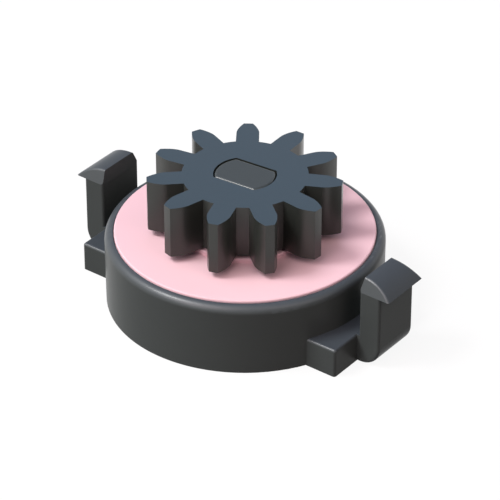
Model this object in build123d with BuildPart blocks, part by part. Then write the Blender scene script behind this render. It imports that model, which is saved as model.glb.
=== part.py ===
from build123d import *

import os
from math import acos, cos, pi, radians, sin, tan

# Miniature gear-type rotary damper, in millimetres.
# A shallow moulded housing holds a disc rotor in thick silicone fluid. A cover closes it, an O-ring seals
# the shaft, and an 11 tooth pinion sits on the shaft's double-D end. Two snap arms stand on lugs at the
# housing's ends and hook behind the edge of a panel.
# The origin is the centre of the housing's flat bottom. X runs through the two snap arms, Y across them,
# and Z is the shaft's axis.

# Gear
gear_module = 0.8
tooth_count = 11
pressure_angle = 14.5
addendum = 0.87
backlash = 0.03
root_clearance = 0.25
tooth_sink = 0.34
flank_steps = 5
gear_width = 3.0
gear_lift = 0.15

# Shaft and drive end
shaft_diameter = 3.5
drive_diameter = 3.3
drive_flats = 2.2
drive_clearance = 0.06
drive_edge = 0.14
rest_turn = 2.6

# Housing cup
housing_diameter = 15.22
housing_height = 4.12
wall_draft = 0.3
rim_rounding = 0.42
base_rounding = 0.03
floor_thickness = 0.8
chamber_diameter = 12.6

# Cover
cover_diameter = 14.2
cover_thickness = 1.28
cover_step = 0.13
cover_edge = 0.1
cover_clearance = 0.04
collar_diameter = 7.0
collar_height = 0.25
collar_edge = 0.06
shaft_clearance = 0.05

# Rotor disc and pivot
film_gap = 0.25
disc_side_gap = 0.3
pivot_diameter = 1.4
pivot_height = 0.75
pivot_clearance = 0.05
passage_count = 6
passage_diameter = 1.2
passage_circle = 8.4

# O-ring
cord_diameter = 1.0
seal_clearance = 0.03

# Lugs
lug_length = 17.18
lug_width = 7.0
lug_height = 1.68
lug_edge = 0.14
lug_corner = 0.15

# Snap arms
arm_standoff = 0.1
arm_thickness = 1.3
arm_width = 3.08
arm_height = 4.4
arm_edge = 0.15
foot_rounding = 1.2
barb_reach = 0.55
head_height = 0.79
head_lean = 0.1
cheek_taper = 0.33
head_edge = 0.13

# Levels and radii that follow from the sizes above
cover_top = housing_height + cover_step
cover_bottom = cover_top - cover_thickness
collar_top = cover_top + collar_height
gear_bottom = collar_top + gear_lift
disc_bottom = floor_thickness + film_gap
disc_top = cover_bottom - film_gap
disc_radius = chamber_diameter / 2 - disc_side_gap
shaft_radius = shaft_diameter / 2
seat_radius = shaft_radius + cord_diameter + 2 * seal_clearance
seat_depth = cord_diameter + 2 * seal_clearance
lug_reach = lug_length / 2
arm_inner = lug_reach + arm_standoff
arm_outer = arm_inner + arm_thickness
head_top = arm_height + head_height
pitch_radius = gear_module * tooth_count / 2
tip_radius = pitch_radius + addendum
root_radius = pitch_radius - (1 + root_clearance) * gear_module
base_radius = pitch_radius * cos(radians(pressure_angle))

# The gear and the shaft's flats stand a little turned from the line through the arms
turned = Plane.XY.rotated((0, 0, rest_turn))


# Housing: lugs first, as one bar under the cup
with BuildPart() as lug_bar:
    with BuildSketch(Plane.XY):
        Rectangle(lug_length, lug_width)
    extrude(amount=lug_height)
    fillet(lug_bar.edges().filter_by(Axis.Z), radius=lug_corner)
    fillet(lug_bar.faces().sort_by(Axis.Z)[-1].edges(), radius=lug_edge)

# One snap arm: foot, post and barbed head, drawn from the side
with BuildPart() as snap_arm:
    with BuildSketch(Plane.XZ) as arm_side:
        with BuildLine():
            Polyline(
                (arm_inner, arm_height),
                (arm_inner, lug_height),
                (lug_reach - arm_standoff, lug_height),
                (lug_reach - arm_standoff, 0),
                (arm_outer, 0),
                (arm_outer, arm_height),
                (arm_outer + barb_reach, arm_height),
            )
            TangentArc(
                (arm_inner + head_lean, head_top),
                (arm_outer + barb_reach, arm_height),
                tangent=(1, 0),
            )
            Line((arm_inner + head_lean, head_top), (arm_inner, arm_height))
        make_face()
        foot = arm_side.vertices().group_by(Axis.Y)[0].sort_by(Axis.X)[-1]
        fillet(foot, radius=foot_rounding)
    extrude(amount=arm_width / 2, both=True)

    # Both cheeks of the head lean in towards its top
    with BuildSketch(Plane.YZ):
        with BuildLine():
            Polyline(
                (arm_width / 2, arm_height),
                (arm_width / 2 - cheek_taper, head_top),
                (arm_width / 2 - cheek_taper, head_top + head_height),
                (arm_width, head_top + head_height),
                (arm_width, arm_height),
                close=True,
            )
        make_face()
        mirror(about=Plane.YZ)
    extrude(amount=arm_outer + 2 * barb_reach, mode=Mode.SUBTRACT)

    # Soft edges round the post and its foot, and along the head's rounded top
    side_edges = snap_arm.faces().filter_by(Axis.Y).edges().filter_by(lambda edge: edge.center().X > lug_reach)
    fillet(side_edges.filter_by(lambda edge: edge.center().Z < arm_height - arm_edge), radius=arm_edge)
    top_edges = snap_arm.edges().filter_by(GeomType.ELLIPSE)
    fillet(top_edges.filter_by(lambda edge: edge.center().X > arm_inner + head_lean), radius=head_edge)

with BuildPart() as housing:
    with BuildSketch(Plane.XZ) as cup_section:
        with BuildLine():
            Polyline(
                (0, 0),
                (housing_diameter / 2 - housing_height * tan(radians(wall_draft)), 0),
                (housing_diameter / 2, housing_height),
                (0, housing_height),
                close=True,
            )
        make_face()
        outer_corners = cup_section.vertices().sort_by(Axis.X)[-2:]
        fillet(outer_corners.sort_by(Axis.Y)[-1], radius=rim_rounding)
        fillet(cup_section.vertices().group_by(Axis.Y)[0].sort_by(Axis.X)[-1], radius=base_rounding)
    revolve(axis=Axis.Z)
    add(lug_bar.part)
    add(snap_arm.part)
    mirror(snap_arm.part, about=Plane.YZ)

    # Fluid chamber, cover seat and the pivot pin left standing on the floor
    with BuildSketch(Plane.XZ):
        with BuildLine():
            Polyline(
                (0, floor_thickness + pivot_height),
                (pivot_diameter / 2, floor_thickness + pivot_height),
                (pivot_diameter / 2, floor_thickness),
                (chamber_diameter / 2, floor_thickness),
                (chamber_diameter / 2, cover_bottom),
                (cover_diameter / 2 + cover_clearance, cover_bottom),
                (cover_diameter / 2 + cover_clearance, housing_height + rim_rounding),
                (0, housing_height + rim_rounding),
                close=True,
            )
        make_face()
    revolve(axis=Axis.Z, mode=Mode.SUBTRACT)

# Cover: a disc with a low collar, a shaft bore and a seat for the O-ring underneath
with BuildPart() as cover:
    with BuildSketch(Plane.XZ) as cover_section:
        with BuildLine():
            Polyline(
                (seat_radius, cover_bottom),
                (cover_diameter / 2, cover_bottom),
                (cover_diameter / 2, cover_top),
                (collar_diameter / 2, cover_top),
                (collar_diameter / 2, collar_top),
                (shaft_radius + shaft_clearance, collar_top),
                (shaft_radius + shaft_clearance, cover_bottom + seat_depth),
                (seat_radius, cover_bottom + seat_depth),
                close=True,
            )
        make_face()
        rim_corner = cover_section.vertices().group_by(Axis.X)[-1].sort_by(Axis.Y)[-1]
        fillet(rim_corner, radius=cover_edge)
        collar_corner = cover_section.vertices().group_by(Axis.Y)[-1].sort_by(Axis.X)[-1]
        fillet(collar_corner, radius=collar_edge)
    revolve(axis=Axis.Z)

# O-ring, drawn at the section it has in its seat
with BuildPart() as o_ring:
    with BuildSketch(Plane.XZ):
        with Locations((shaft_radius + seal_clearance + cord_diameter / 2, cover_bottom + seat_depth / 2)):
            Circle(cord_diameter / 2)
    revolve(axis=Axis.Z)

# Double-D outline of the shaft's drive end
with BuildSketch(turned) as drive_outline:
    Circle(drive_diameter / 2)
    Rectangle(drive_diameter, drive_flats, mode=Mode.INTERSECT)

# Rotor: damping disc and shaft in one moulding
with BuildPart() as rotor:
    with BuildSketch(Plane.XY.offset(disc_bottom)):
        Circle(disc_radius)
        with PolarLocations(passage_circle / 2, passage_count):
            Circle(passage_diameter / 2, mode=Mode.SUBTRACT)
    extrude(amount=disc_top - disc_bottom)
    with BuildSketch(Plane.XY.offset(disc_bottom)):
        Circle(shaft_radius)
    extrude(amount=gear_bottom - disc_bottom)
    with BuildSketch(turned.offset(gear_bottom)):
        add(drive_outline.sketch)
    extrude(amount=gear_width)
    fillet(rotor.faces().sort_by(Axis.Z)[-1].edges(), radius=drive_edge)
    with BuildSketch(Plane.XY.offset(disc_bottom)):
        Circle(pivot_diameter / 2 + pivot_clearance)
    extrude(amount=floor_thickness + pivot_height + pivot_clearance - disc_bottom, mode=Mode.SUBTRACT)


def flank_point(radius):
    """Point of a tooth's involute flank at a radius, for a tooth centred on the X axis."""
    half_angle = pi / (2 * tooth_count) - backlash / (4 * pitch_radius)
    half_angle += tan(radians(pressure_angle)) - radians(pressure_angle)
    roll = acos(base_radius / radius)
    angle = half_angle - (tan(roll) - roll)
    return radius * cos(angle), radius * sin(angle)


# One tooth: involute flanks down to the base circle, then straight sides into the gear's core
flank_rise = (tip_radius - base_radius) / flank_steps
with BuildSketch() as tooth:
    with BuildLine():
        flank_points = [flank_point(base_radius + flank_rise * step) for step in range(flank_steps + 1)]
        flank = Spline(*flank_points)
        foot_line = Line((root_radius - tooth_sink, flank_points[0][1]), flank_points[0])
        ThreePointArc(flank_points[-1], (tip_radius, 0), (flank_points[-1][0], -flank_points[-1][1]))
        mirror(flank, about=Plane.XZ)
        mirror(foot_line, about=Plane.XZ)
        Line(foot_line @ 0, (root_radius - tooth_sink, -flank_points[0][1]))
    make_face()

# Gear: a core with one tooth's centre on the Y axis before the turn, and the double-D bore
with BuildPart() as gear:
    with BuildSketch(turned.offset(gear_bottom)):
        Circle(root_radius)
        with PolarLocations(0, tooth_count, start_angle=90):
            add(tooth.sketch)
        offset(drive_outline.sketch, amount=drive_clearance, mode=Mode.SUBTRACT)
    extrude(amount=gear_width)

os.makedirs("parts", exist_ok=True)

housing.part.label = "housing"
export_step(housing.part, "parts/housing.step")

cover.part.label = "cover"
export_step(cover.part, "parts/cover.step")

o_ring.part.label = "o_ring"
export_step(o_ring.part, "parts/o_ring.step")

rotor.part.label = "rotor"
export_step(rotor.part, "parts/rotor.step")

gear.part.label = "gear"
export_step(gear.part, "parts/gear.step")
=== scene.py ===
import math

import bmesh
import bpy
from bpy.props import FloatProperty, FloatVectorProperty, PointerProperty
from mathutils import Matrix, Vector

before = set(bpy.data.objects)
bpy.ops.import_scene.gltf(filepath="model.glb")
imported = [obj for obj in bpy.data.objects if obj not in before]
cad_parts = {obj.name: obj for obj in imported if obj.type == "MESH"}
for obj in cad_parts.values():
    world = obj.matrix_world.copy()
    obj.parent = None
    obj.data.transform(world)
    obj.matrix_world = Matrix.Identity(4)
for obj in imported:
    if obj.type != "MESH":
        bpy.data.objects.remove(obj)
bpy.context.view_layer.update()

# A rotary damper in moulded plastic on a white studio floor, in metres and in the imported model's frame.

bl_info = {
    "name": "Rotary Damper",
    "version": (1, 0, 0),
    "blender": (4, 5, 0),
    "location": "3D View > Sidebar > Damper",
    "description": "Gives a small gear damper its plastic finishes, a floor, lamps and a camera",
    "category": "Object",
}

millimetre = 0.001

# The lens is given for a sensor this wide, in millimetres
sensor_width = 36


# Sizes and colours


def colour_property(name, description, default):
    return FloatVectorProperty(
        name=name, description=description, default=default, min=0, max=1, subtype="COLOR")


def share_property(name, description, default):
    return FloatProperty(name=name, description=description, default=default, min=0, max=1, subtype="FACTOR")


def length_property(name, description, default):
    return FloatProperty(
        name=name, description=description, default=default, min=0, unit="LENGTH", precision=6)


def angle_property(name, description, degrees):
    return FloatProperty(name=name, description=description, default=math.radians(degrees), unit="ROTATION")


class DamperFinish(bpy.types.PropertyGroup):
    """Colours and surface of the moulded pieces."""

    # The housing's top colour is bluer than its wall colour: painted reflection of bluish light from above
    housing_tops_painted_sky: colour_property("Housing", "Colour of the cup and its snap arms", (0.057, 0.069, 0.081))
    housing_walls_without_painted_sky: colour_property("Housing walls", "Colour of its upright walls", (0.067, 0.076, 0.074))
    cover_colour: colour_property("Cover", "Colour of the disc that closes the cup", (0.888, 0.602, 0.656))
    # The gear's top colour is bluer than its flank colour, as painted reflection of bluish light from above;
    # the flanks' warmer colour is painted bounce from the pink cover
    gear_top_painted_sky: colour_property("Gear", "Colour of the pinion", (0.0105, 0.031, 0.048))
    gear_flanks_painted_bounce: colour_property("Gear flanks", "Colour of its upright tooth flanks", (0.027, 0.031, 0.027))
    rotor_colour: colour_property("Shaft", "Colour of the shaft and its disc", (0.036, 0.047, 0.051))
    seal_colour: colour_property("O-ring", "Colour of the rubber ring", (0.02, 0.02, 0.02))
    plastic_roughness: share_property("Roughness", "How dull the moulded skin is", 0.31)
    coat_roughness: share_property("Coat roughness", "How dull the gloss on edges and flanks is", 0.34)
    grain_size: length_property("Grain size", "Width of one grain of the moulded skin", 0.00012)
    grain_depth: length_property("Grain depth", "Depth of the moulded grain", 0.0000012)
    flow_size: length_property("Flow size", "Width of the patches that the flowing melt left", 0.0032)
    draw_spacing: length_property("Draw line spacing", "From one upright line to the next", 0.00022)


class DamperStage(bpy.types.PropertyGroup):
    """Camera, floor and lamps."""

    view_azimuth: angle_property("Azimuth", "Camera's turn about the shaft from the front", 37.319)
    view_elevation: angle_property("Elevation", "Camera's height above the horizon", 33.061)
    view_distance: length_property("Distance", "From the camera to the point it aims at", 0.16599)
    aim_height: length_property("Aim height", "How far the aim lies above the base's centre", 0.0023467)
    aim_side: length_property("Aim side", "How far the aim lies right of the base's centre", 0.000264)
    lens: FloatProperty(name="Lens", description="Focal length in millimetres", default=218.31, min=1)
    floor_radius: length_property("Floor radius", "Radius of the studio floor", 3.0)
    floor_colour: share_property("Floor", "Share of the light that the floor gives back", 0.10)
    lamp_distance: length_property("Lamp distance", "From each lamp to the centre of the base", 0.6)


# Shader wiring


class Wire:
    """An output of a shader node. Arithmetic on it adds Math nodes, and node() adds any other node."""

    def __init__(self, tree, socket=None):
        self.tree = tree
        self.socket = socket

    def node(self, kind, settings=None, inputs=None, output=0):
        """Adds a node, sets its settings and then its inputs' values or links, and returns one output."""
        made = self.tree.nodes.new("ShaderNode" + kind)
        for name, value in (settings or {}).items():
            setattr(made, name, value)
        for name, value in (inputs or {}).items():
            if isinstance(value, Wire):
                self.tree.links.new(value.socket, made.inputs[name])
            else:
                made.inputs[name].default_value = value
        return Wire(self.tree, made.outputs[output] if made.outputs else None)

    def maths(self, operation, first, second):
        return self.node("Math", {"operation": operation}, {0: first, 1: second})

    def __add__(self, other):
        return self.maths("ADD", self, other)

    def __radd__(self, other):
        return self.maths("ADD", other, self)

    def __sub__(self, other):
        return self.maths("SUBTRACT", self, other)

    def __rsub__(self, other):
        return self.maths("SUBTRACT", other, self)

    def __mul__(self, other):
        return self.maths("MULTIPLY", self, other)

    def __rmul__(self, other):
        return self.maths("MULTIPLY", other, self)

    def larger(self, other):
        """The larger of the two values."""
        return self.maths("MAXIMUM", self, other)

    def size(self):
        """The value without its sign."""
        return self.node("Math", {"operation": "ABSOLUTE"}, {0: self})


def empty_tree(owner):
    """Empties the node tree of a material or a world and returns a Wire to build it from."""
    owner.use_nodes = True
    owner.node_tree.nodes.clear()
    return Wire(owner.node_tree)


# A Mix node's sockets for its factor, its two colours and the colour that comes out
mix_factor, mix_first, mix_second, mix_colour = 0, 6, 7, 2


def blend(share, first, second):
    """A colour that goes from the first to the second with the share."""
    inputs = {mix_factor: share, mix_first: first, mix_second: second}
    return share.node("Mix", {"data_type": "RGBA"}, inputs, output=mix_colour)


def tint(wire, colour, strength):
    """The colour, lighter where the wire is above a half and darker where it is below, by that strength."""
    dark = [part * (1 - strength) for part in colour] + [1]
    light = [min(1, part * (1 + strength)) for part in colour] + [1]
    return blend(wire, dark, light)


# Finishes


def place_on_piece(start, stretch=(1, 1, 1)):
    """Object coordinates in millimetres, stretched along the axes."""
    scale = [factor / millimetre for factor in stretch]
    place = start.node("TexCoord", output="Object")
    return start.node("Mapping", inputs={"Vector": place, "Scale": scale})


def noise(place, size, detail=2.0, softness=0.5):
    """Noise from 0 to 1 with spots of that size, which is in metres."""
    inputs = {"Vector": place, "Scale": millimetre / size, "Detail": detail, "Roughness": softness}
    return place.node("TexNoise", inputs=inputs)


def moulded_skin(start, finish):
    """Height of a fine grain, such as a mould's skin leaves on plastic, on a slight broad swell."""
    swell_share = 0.2
    grain = noise(place_on_piece(start), finish.grain_size, detail=3)
    swell = noise(place_on_piece(start), finish.flow_size / 3, detail=1)
    return grain * (1 - swell_share) + swell * swell_share


def draw_lines(start, finish):
    """Faint upright lines, such as a mould's polished walls leave, stronger in some places than in others."""
    upright = (1, 1, 0.03)
    lines = noise(place_on_piece(start, upright), finish.draw_spacing, detail=2)
    patches = noise(place_on_piece(start), finish.flow_size, detail=1)
    return lines * patches


def facing(start, axis):
    """How much the surface faces along an axis of the piece, from -1 to 1."""
    normal = start.node("TexCoord", output="Normal")
    return start.node("SeparateXYZ", inputs={"Vector": normal}, output=axis)


def glossy_edges(start):
    """Grows to one on rounded top edges that turn to the front or the back.

    It is fitted to the photograph, whose edges shine more than its flat and sloping tops. Edges that turn to
    the sides stay dull, because the same mask would make the barbs' sloping tops shine.
    """
    # At 45 degrees the two facings multiply to a half, so the product is doubled
    return facing(start, "Y").size() * facing(start, "Z").larger(0) * 2


def upright_faces(start):
    """Grows to one on upright faces, for tooth flanks, which shine more in the photograph than the top."""
    return 1 - facing(start, "Z").size()


def plastic(name, finish, colour, specular, grain=1, lines=0, colour_change=0.05, roughness_change=0.06,
            painted_light_walls=None, coat=None, coat_share=1):
    """Satin moulded plastic, whose colour and dullness drift a little where the melt flowed.

    Specular is the shader's own level of gloss. Grain and lines are shares of the finish's grain depth.
    Walls is the colour of upright faces, which look less blue in the photograph than the tops; the tops' blue
    is painted reflection of bluish light from above. Coat is a function that says where the skin is glossier,
    and its share is how much.
    """
    material = bpy.data.materials.new(name)
    start = empty_tree(material)
    flow = noise(place_on_piece(start), finish.flow_size, detail=3, softness=0.6)
    skin = tint(flow, colour, colour_change)
    # Upright faces get the walls' colour and the rest the main colour: a painted two-tone of light, not of
    # the plastic
    if painted_light_walls:
        skin = blend(facing(start, "Z").size(), tint(flow, painted_light_walls, colour_change), skin)
    height = moulded_skin(start, finish) * grain
    if lines:
        height = height + draw_lines(start, finish) * lines
    bump = start.node("Bump", inputs={"Strength": 1, "Distance": finish.grain_depth, "Height": height})
    inputs = {
        "Base Color": skin,
        "Roughness": flow * roughness_change + (finish.plastic_roughness - roughness_change / 2),
        "Specular IOR Level": specular,
        "Normal": bump,
    }
    if coat:
        inputs["Coat Weight"] = coat(start) * coat_share
        inputs["Coat Roughness"] = finish.coat_roughness
    surface = start.node("BsdfPrincipled", inputs=inputs)
    start.node("OutputMaterial", inputs={"Surface": surface})
    return material


def housing_plastic(finish):
    """Dark grey plastic with a fine grain and upright draw lines on its walls. Its tops are bluer than its
    walls, which is painted reflection of bluish light from above.
    """
    return plastic("housing_plastic", finish, finish.housing_tops_painted_sky, specular=0.05, lines=0.6,
                   painted_light_walls=finish.housing_walls_without_painted_sky, coat=glossy_edges, coat_share=0.9)


def cover_plastic(finish):
    """Pink plastic, smooth, with a hint of flow in its colour."""
    return plastic("cover_plastic", finish, finish.cover_colour, specular=0.06, grain=0.7,
                   colour_change=0.012)


def gear_plastic(finish):
    """Dark plastic with upright lines and more gloss on its tooth flanks. Its top is bluer, as painted
    reflection of bluish light from above, and its flanks warmer, as painted bounce from the pink cover.
    """
    return plastic("gear_plastic", finish, finish.gear_top_painted_sky, specular=0.34, grain=0.5, lines=1,
                   painted_light_walls=finish.gear_flanks_painted_bounce, coat=upright_faces, coat_share=0.35)


def rotor_plastic(finish):
    """Grey plastic of the shaft and its disc."""
    return plastic("rotor_plastic", finish, finish.rotor_colour, specular=0.15, grain=0.8,
                   coat=glossy_edges, coat_share=0.8)


def seal_rubber(finish):
    """Black rubber with a dull, slightly blotchy skin."""
    return plastic("seal_rubber", finish, finish.seal_colour, specular=0.25, grain=1.2,
                   colour_change=0.1, roughness_change=0.2)


def dress(node, material):
    """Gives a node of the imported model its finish."""
    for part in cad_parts[node].material_slots:
        part.material = material


# Stage


def direction(azimuth, elevation):
    """Unit vector towards a place round the object: azimuth 0 is the front, and it grows towards +X."""
    return Vector((
        math.sin(azimuth) * math.cos(elevation),
        -math.cos(azimuth) * math.cos(elevation),
        math.sin(elevation),
    ))


def studio_white(start):
    """One for the rays that see a background, which are the camera's and those of gloss and glass."""
    camera = start.node("LightPath", output="Is Camera Ray")
    gloss = start.node("LightPath", output="Is Glossy Ray")
    glass = start.node("LightPath", output="Is Transmission Ray")
    return camera.larger(gloss).larger(glass)


def add_floor(stage):
    """A large round floor that looks white and keeps the object's shadow."""
    corners = 96
    shape = bmesh.new()
    bmesh.ops.create_circle(shape, cap_ends=True, segments=corners, radius=stage.floor_radius)
    mesh = bpy.data.meshes.new("floor")
    shape.to_mesh(mesh)
    shape.free()
    floor = bpy.data.objects.new("floor", mesh)
    bpy.context.scene.collection.objects.link(floor)

    material = bpy.data.materials.new("floor_paper")
    start = empty_tree(material)
    grey = [stage.floor_colour] * 3 + [1]
    matt = start.node("BsdfDiffuse", inputs={"Color": grey})
    glow = start.node("Emission", inputs={"Strength": studio_white(start) * (1 - stage.floor_colour)})
    surface = start.node("AddShader", inputs={0: matt, 1: glow})
    start.node("OutputMaterial", inputs={"Surface": surface})
    mesh.materials.append(material)


def add_world():
    """White to the camera and to gloss. Matt surfaces get their light from the lamps alone."""
    world = bpy.data.worlds.new("studio")
    bpy.context.scene.world = world
    start = empty_tree(world)
    surface = start.node("Background", inputs={"Color": (1, 1, 1, 1), "Strength": studio_white(start)})
    start.node("OutputWorld", inputs={"Surface": surface})


# Softboxes fitted to the photograph's shadows and highlights. Each has a name, azimuth and elevation in
# degrees, diameter in metres, brightness and colour
softboxes = (
    ("key", -44, 54, 0.19, 0.56, (1, 1, 1)),
    ("halo", -46, 51, 0.8, 0.55, (1, 1, 1)),
    ("front", -5, 42, 0.5, 0.36, (1, 0.82, 0.84)),
    ("low", 0, 14, 0.3, 0.07, (1, 1, 1)),
    ("top", 20, 70, 0.5, 0.08, (1, 0.7, 0.7)),
    ("right", 85, 40, 0.5, 0.25, (1, 0.82, 0.8)),
    ("back", 150, 22, 0.4, 0.16, (1, 1, 1)),
    ("sky", 205, 50, 0.6, 0.09, (0.3, 0.45, 1)),
)


def add_lamp(distance, name, azimuth, elevation, diameter, brightness, colour):
    """A round softbox that faces the object. Brightness 1 renders a white surface that faces it as white."""
    lamp = bpy.data.lights.new(name, "AREA")
    lamp.shape = "DISK"
    lamp.size = diameter
    lamp.color = colour
    lamp.energy = brightness * (math.pi * distance) ** 2
    holder = bpy.data.objects.new(name, lamp)
    bpy.context.scene.collection.objects.link(holder)
    towards = direction(math.radians(azimuth), math.radians(elevation))
    holder.location = towards * distance
    holder.rotation_mode = "QUATERNION"
    holder.rotation_quaternion = towards.to_track_quat("Z", "Y")


def add_camera(stage):
    """A camera fitted to the photograph. Its aim is offset within the picture from the middle of the base."""
    azimuth, elevation = stage.view_azimuth, stage.view_elevation
    back = direction(azimuth, elevation)
    right = Vector((math.cos(azimuth), math.sin(azimuth), 0))
    up = back.cross(right)
    aim = right * stage.aim_side + up * stage.aim_height
    data = bpy.data.cameras.new("camera")
    data.sensor_width = sensor_width
    data.lens = stage.lens
    data.clip_start = stage.view_distance / 100
    data.clip_end = stage.floor_radius * 2
    camera = bpy.data.objects.new("camera", data)
    bpy.context.scene.collection.objects.link(camera)
    turn = Matrix((right, up, back)).transposed().to_4x4()
    camera.matrix_world = Matrix.Translation(aim + back * stage.view_distance) @ turn
    bpy.context.scene.camera = camera


# Operators


class DAMPER_OT_housing(bpy.types.Operator):
    """Finish the housing in dark moulded plastic"""

    bl_idname = "damper.housing"
    bl_label = "Housing"

    def execute(self, context):
        dress("housing", housing_plastic(context.scene.damper_finish))
        return {"FINISHED"}


class DAMPER_OT_cover(bpy.types.Operator):
    """Finish the cover in pink moulded plastic"""

    bl_idname = "damper.cover"
    bl_label = "Cover"

    def execute(self, context):
        dress("cover", cover_plastic(context.scene.damper_finish))
        return {"FINISHED"}


class DAMPER_OT_rotor(bpy.types.Operator):
    """Finish the rotor in grey moulded plastic and the O-ring in rubber"""

    bl_idname = "damper.rotor"
    bl_label = "Rotor and O-ring"

    def execute(self, context):
        dress("rotor", rotor_plastic(context.scene.damper_finish))
        dress("o_ring", seal_rubber(context.scene.damper_finish))
        return {"FINISHED"}


class DAMPER_OT_gear(bpy.types.Operator):
    """Finish the gear in dark moulded plastic"""

    bl_idname = "damper.gear"
    bl_label = "Gear"

    def execute(self, context):
        dress("gear", gear_plastic(context.scene.damper_finish))
        return {"FINISHED"}


class DAMPER_OT_stage(bpy.types.Operator):
    """Add the floor, the world, the lamps and the camera"""

    bl_idname = "damper.stage"
    bl_label = "Stage"

    def execute(self, context):
        stage = context.scene.damper_stage
        context.scene.view_settings.view_transform = "Standard"
        add_camera(stage)
        add_floor(stage)
        add_world()
        for softbox in softboxes:
            add_lamp(stage.lamp_distance, *softbox)
        return {"FINISHED"}


class DAMPER_PT_panel(bpy.types.Panel):
    """Lists the steps that dress the damper, with their sizes and colours"""

    bl_idname = "DAMPER_PT_panel"
    bl_label = "Rotary Damper"
    bl_space_type = "VIEW_3D"
    bl_region_type = "UI"
    bl_category = "Damper"

    def draw(self, context):
        for group in (context.scene.damper_finish, context.scene.damper_stage):
            for name in group.__annotations__:
                self.layout.prop(group, name)
        for operator in operators:
            self.layout.operator(operator.bl_idname)


operators = (DAMPER_OT_housing, DAMPER_OT_cover, DAMPER_OT_rotor, DAMPER_OT_gear, DAMPER_OT_stage)
classes = (DamperFinish, DamperStage, *operators, DAMPER_PT_panel)


def register():
    for each in classes:
        bpy.utils.register_class(each)
    bpy.types.Scene.damper_finish = PointerProperty(type=DamperFinish)
    bpy.types.Scene.damper_stage = PointerProperty(type=DamperStage)


def unregister():
    del bpy.types.Scene.damper_stage
    del bpy.types.Scene.damper_finish
    for each in reversed(classes):
        bpy.utils.unregister_class(each)


def main():
    register()
    bpy.ops.damper.housing()
    bpy.ops.damper.cover()
    bpy.ops.damper.rotor()
    bpy.ops.damper.gear()
    bpy.ops.damper.stage()


if __name__ == "__main__":
    main()
